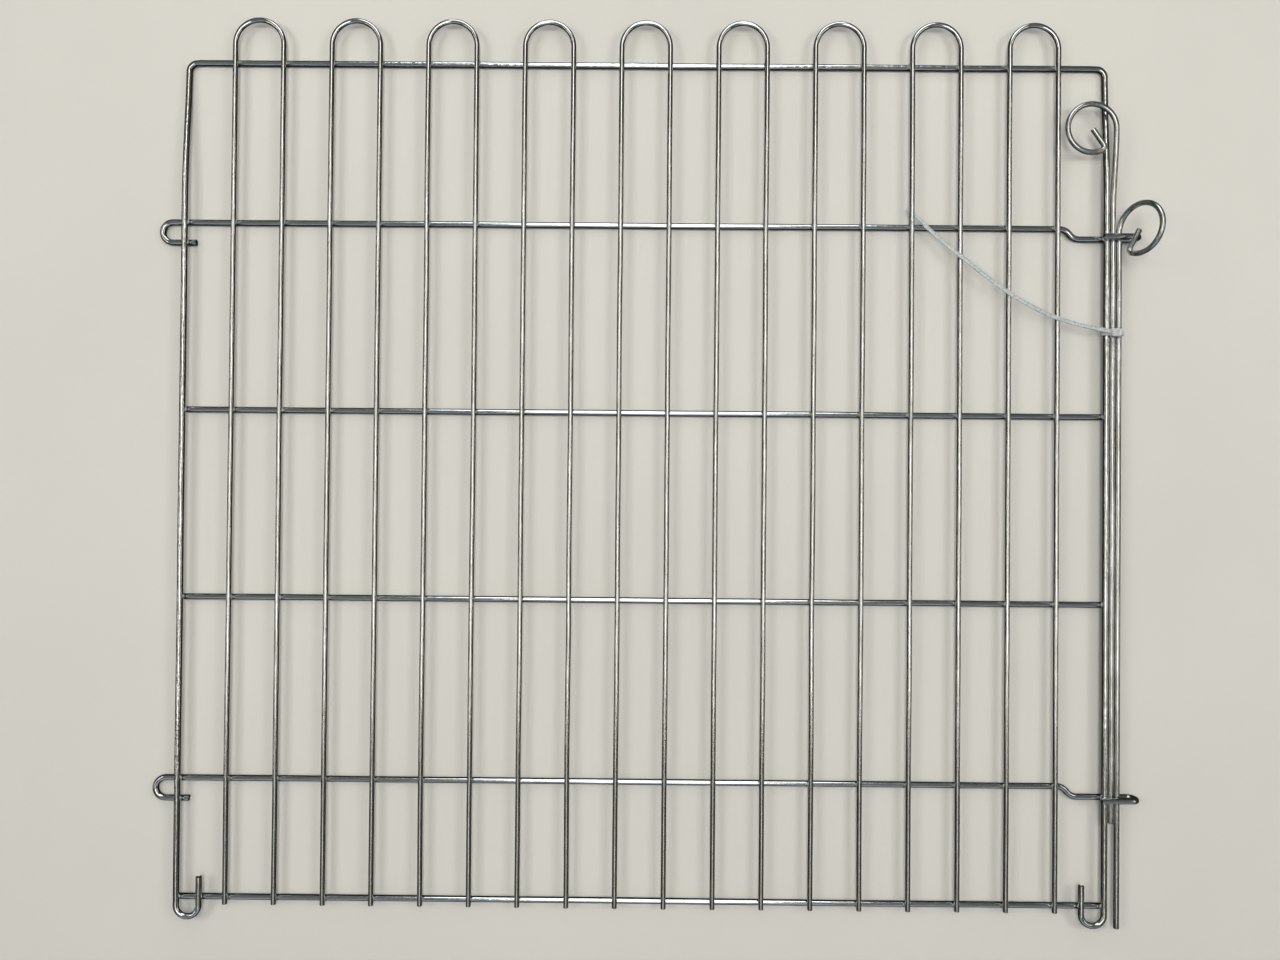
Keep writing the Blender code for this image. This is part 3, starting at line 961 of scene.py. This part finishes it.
def tie_tail_anchors(tie, head_middle):
    """The loose tail: over some legs and the hinge bar, and under its last leg."""
    legs = leg_places()
    level = leg_level() + hairpin_wire() / 2
    bar_top = crossbar_wire()
    rise = bar_height("upper_hinge_bar") - head_middle.y
    anchors = [head_middle]
    for number, share in zip(TAIL_LEGS, TAIL_CLIMB):
        height = level + TAIL_CLEARANCE + tie.thickness / 2
        anchors.append(Vector((legs[number], head_middle.y + rise * share, height)))
    leg_side = (hairpin_wire() + tie.width) / 2
    bar_side = (crossbar_wire() + tie.width) / 2
    over_bar = bar_top + TAIL_CLEARANCE + tie.thickness / 2
    under_leg = bar_top - tie.thickness
    levels = (over_bar + tie.thickness, over_bar, under_leg, under_leg - TAIL_CLEARANCE)
    for (aside, above), height in zip(TAIL_END, levels):
        y = bar_height("upper_hinge_bar") + above * bar_side
        anchors.append(Vector((legs[LAST_LEG] + aside * leg_side, y, height)))
    return anchors


def loop_line(tie, left, right, radius, height):
    """The closed loop round the upright and the pins, and the way its outer face looks at each point."""
    level = upright_level()
    points = []
    faces = []
    for centre_x, start in ((right - radius, -math.pi / 2), (left + radius, math.pi / 2)):
        for index in range(LOOP_STEPS + 1):
            angle = start + math.pi * index / LOOP_STEPS
            outward = Vector((math.cos(angle), 0, math.sin(angle)))
            reach = radius + tie.thickness / 2
            points.append(Vector((centre_x, height, level)) + outward * reach)
            faces.append(outward)
    return points, faces


def boxed(size, place, bevel):
    """A block with rounded edges."""
    shape = bmesh.new()
    bmesh.ops.create_cube(shape, size=1.0)
    for vert in shape.verts:
        vert.co = Vector((vert.co.x * size[0], vert.co.y * size[1], vert.co.z * size[2])) + place
    if bevel:
        bmesh.ops.bevel(shape, geom=shape.edges[:], offset=bevel, segments=3, profile=0.6, affect="EDGES")
    return shape


def cut_out(base, cutters):
    """Cuts the cutters out of the base, and removes them."""
    for cutter in cutters:
        change = base.modifiers.new("change", "BOOLEAN")
        change.operation = "DIFFERENCE"
        change.solver = "EXACT"
        change.object = cutter
    graph = bpy.context.evaluated_depsgraph_get()
    mesh = bpy.data.meshes.new_from_object(base.evaluated_get(graph))
    base.modifiers.clear()
    base.data = mesh
    for cutter in cutters:
        bpy.data.objects.remove(cutter, do_unlink=True)


def join_meshes(base, others):
    """Puts the others' meshes into the base's, and removes the others."""
    shape = bmesh.new()
    for part in (base, *others):
        shape.from_mesh(part.data)
    shape.to_mesh(base.data)
    shape.free()
    base.data.shade_smooth()
    base.data.set_sharp_from_angle(angle=SHARP_ANGLE)
    for part in others:
        bpy.data.objects.remove(part, do_unlink=True)


class WIRERUN_OT_cable_tie(bpy.types.Operator):
    """Builds the cable tie: its loop, head and loose tail"""

    bl_idname = "wirerun.cable_tie"
    bl_label = "Cable Tie"

    def execute(self, context):
        wires = context.scene.wirerun_wires
        tie = context.scene.wirerun_tie
        material = nylon_material(tie)
        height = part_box("cable_tie")[0].y + tie.head[1] / 2
        left = upright_x(1) - crossbar_wire() / 2 - tie.clearance
        right = seated_joint()["pos_m"][0] + wires.pin_wire / 2 + tie.clearance + LOOP_SLACK
        radius = crossbar_wire() / 2 + tie.clearance
        points, faces = loop_line(tie, left, right, radius, height)
        loop = new_piece("tie_loop", sweep_strap(points, faces, tie, False, 0.0, closed=True), material)
        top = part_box("cable_tie")[1].z
        head_middle = Vector(((left + right) / 2, height, top - tie.head[2] / 2))
        head = new_piece("nylon_cable_tie", boxed(tie.head, head_middle, HEAD_BEVEL), material)
        across, deep = MOUTH_MARGIN
        mouth_size = (tie.head[0] * 2, tie.width + across, tie.thickness + deep)
        mouth = new_piece("tie_mouth", boxed(mouth_size, head_middle, 0), material)
        window_place = head_middle + Vector((WINDOW_OFFSET, 0, tie.head[2] / 2))
        window = new_piece("tie_window", boxed(WINDOW, window_place, WINDOW_BEVEL), material)
        cut_out(head, [mouth, window])
        pawl_shape = boxed(PAWL, window_place - FRONT * PAWL_DEPTH, PAWL_BEVEL)
        pawl = new_piece("tie_pawl", pawl_shape, material)
        anchors = tie_tail_anchors(tie, head_middle)
        line = resampled(through(anchors, TIE_TAIL_STEPS), tie.tooth_pitch / 4)
        tail_shape = sweep_strap(line, [FRONT] * len(line), tie, True, tie.tip_length)
        tail = new_piece("tie_tail", tail_shape, material)
        join_meshes(head, [loop, pawl, tail])
        finish_piece(head, "panel", "tie_nylon", "cable_tie")
        return {"FINISHED"}


# ---------------------------------------------------------------- the studio


def add_light(name, place, target, size, power, colour):
    light = bpy.data.lights.new(name, "AREA")
    light.shape = "RECTANGLE"
    light.size, light.size_y = size
    light.energy = power
    light.color = colour
    obj = bpy.data.objects.new(name, light)
    obj.location = place
    obj.rotation_euler = (Vector(target) - Vector(place)).to_track_quat("-Z", "Y").to_euler()
    bpy.context.scene.collection.objects.link(obj)
    return obj


def floor_material(studio):
    material = bpy.data.materials.new("pale_floor")
    material.use_nodes = True
    wiring = Wiring(material.node_tree)
    shader = material.node_tree.nodes["Principled BSDF"]
    place = wiring.node("ShaderNodeTexCoord").outputs["Object"]
    clouds = wiring.noise(place, 5.0, 3.0, 0.5)
    darker = tuple(channel * FLOOR_CLOUDS for channel in studio.floor)
    colour = wiring.mix(wiring.band(clouds, 0.35, 0.65), (*studio.floor, 1), (*darker, 1))
    # For mirror rays the lit floor turns near black: a painted dark reflection that paints shade along the
    # wires' edges.
    mirrored = wiring.node("ShaderNodeLightPath").outputs["Is Glossy Ray"]
    wiring.feed(shader.inputs["Base Color"], wiring.mix(mirrored, colour, (*studio.painted_dark_reflection, 1)))
    shader.inputs["Roughness"].default_value = 0.85
    shader.inputs["Specular IOR Level"].default_value = 0.1
    return material


def studio_world():
    """Pale where the camera sees past the floor. The wires mirror a dim and patchy room, darker low down."""
    world = bpy.data.worlds.new("dim_room")
    world.use_nodes = True
    wiring = Wiring(world.node_tree)
    output = world.node_tree.nodes["World Output"]
    direction = wiring.node("ShaderNodeTexCoord").outputs["Generated"]
    upward = wiring.node("ShaderNodeSeparateXYZ", {"Vector": direction}).outputs["Z"]
    patches = wiring.band(wiring.noise(direction, 3.2, 2.0, 0.5), 0.38, 0.62, 0.35, 1.0)
    light = wiring.math("MULTIPLY", wiring.band(upward, 0.05, 0.9, 0.12, 1.0), patches)
    colour = wiring.mix(light, (0.012, 0.014, 0.013, 1), (0.20, 0.205, 0.18, 1))
    pale = wiring.node("ShaderNodeBackground", {"Color": (0.78, 0.77, 0.75, 1), "Strength": 1.0})
    room = wiring.node("ShaderNodeBackground", {"Color": colour, "Strength": 1.0})
    rays = wiring.node("ShaderNodeLightPath").outputs["Is Camera Ray"]
    mixed = wiring.node("ShaderNodeMixShader", {0: rays, 1: room.outputs[0], 2: pale.outputs[0]})
    wiring.feed(output.inputs["Surface"], mixed.outputs[0])
    return world


class WIRERUN_OT_studio(bpy.types.Operator):
    """Builds the floor, the lights, the room and the camera"""

    bl_idname = "wirerun.studio"
    bl_label = "Studio"

    def execute(self, context):
        studio = context.scene.wirerun_studio
        shape = bmesh.new()
        bmesh.ops.create_circle(shape, cap_ends=True, segments=96, radius=FLOOR_RADIUS)
        floor = new_piece("floor", shape, floor_material(studio))
        floor.location.z = -FLOOR_DROP
        context.scene.world = studio_world()
        middle = (0, 0, 0)
        add_light("ceiling", (0, 0.35, 1.9), (0, 0.35, 0), (0.68, 1.9), studio.ceiling_power, CREAM)
        add_light("far_ceiling", (0, -1.0, 1.9), (0, -1.0, 0), (0.34, 0.8), studio.far_power, CREAM)
        add_light("back_light", (0, 1.9, 1.2), middle, (1.3, 1.2), studio.back_power, PALE_CYAN)
        for name, side in (("left_light", -1), ("right_light", 1)):
            add_light(name, (side * 1.4, 0.1, 1.1), middle, (1.5, 0.16), studio.side_power, CREAM)
        add_light("front_light", (0, -1.7, 0.9), middle, (3.4, 0.9), studio.front_power, SKY_BLUE)
        # The fills light the floor and the nylon, and the wires don't mirror them.
        fills = {"fill": (0, 0.3, 1.9), "left_fill": (-1.3, 0.3, 1.3), "right_fill": (1.3, 0.3, 1.3)}
        for name, place in fills.items():
            fill = add_light(name, place, middle, (0.35, 0.6), studio.fill_power, WARM_WHITE)
            fill.visible_glossy = False
        camera_data = bpy.data.cameras.new("camera")
        camera_data.sensor_width = 36.0
        camera_data.lens = studio.lens
        camera_data.clip_start = 0.01
        camera = bpy.data.objects.new("camera", camera_data)
        camera.location = studio.camera_place
        camera.rotation_euler = Euler(studio.camera_tilt, "XYZ")
        context.scene.collection.objects.link(camera)
        context.scene.camera = camera
        context.scene.view_settings.view_transform = "Standard"
        return {"FINISHED"}


class WIRERUN_PT_panel(bpy.types.Panel):
    """Lists the operators in the sidebar of the 3D view"""

    bl_idname = "WIRERUN_PT_panel"
    bl_label = "Wire Run Panel"
    bl_space_type = "VIEW_3D"
    bl_region_type = "UI"
    bl_category = "Wire Run"

    def draw(self, context):
        for operator in OPERATORS:
            self.layout.operator(operator.bl_idname)
        for settings in SETTINGS:
            group = getattr(context.scene, settings)
            box = self.layout.box()
            for name in group.bl_rna.properties.keys():
                if name not in ("rna_type", "name"):
                    box.prop(group, name)


OPERATORS = (
    WIRERUN_OT_studio,
    WIRERUN_OT_frame,
    WIRERUN_OT_hairpins,
    WIRERUN_OT_crossbars,
    WIRERUN_OT_pins,
    WIRERUN_OT_welds,
    WIRERUN_OT_cable_tie,
)
SETTINGS = {
    "wirerun_wires": WireSettings,
    "wirerun_zinc": ZincSettings,
    "wirerun_tie": TieSettings,
    "wirerun_studio": StudioSettings,
}


def register():
    for settings in SETTINGS.values():
        bpy.utils.register_class(settings)
    for operator in OPERATORS:
        bpy.utils.register_class(operator)
    bpy.utils.register_class(WIRERUN_PT_panel)
    for name, settings in SETTINGS.items():
        setattr(bpy.types.Scene, name, PointerProperty(type=settings))


def unregister():
    for name in SETTINGS:
        delattr(bpy.types.Scene, name)
    bpy.utils.unregister_class(WIRERUN_PT_panel)
    for operator in reversed(OPERATORS):
        bpy.utils.unregister_class(operator)
    for settings in reversed(SETTINGS.values()):
        bpy.utils.unregister_class(settings)


def main():
    register()
    bpy.ops.wirerun.studio()
    bpy.ops.wirerun.frame()
    bpy.ops.wirerun.hairpins()
    bpy.ops.wirerun.crossbars()
    bpy.ops.wirerun.pins()
    bpy.ops.wirerun.welds()
    bpy.ops.wirerun.cable_tie()


if __name__ == "__main__":
    main()
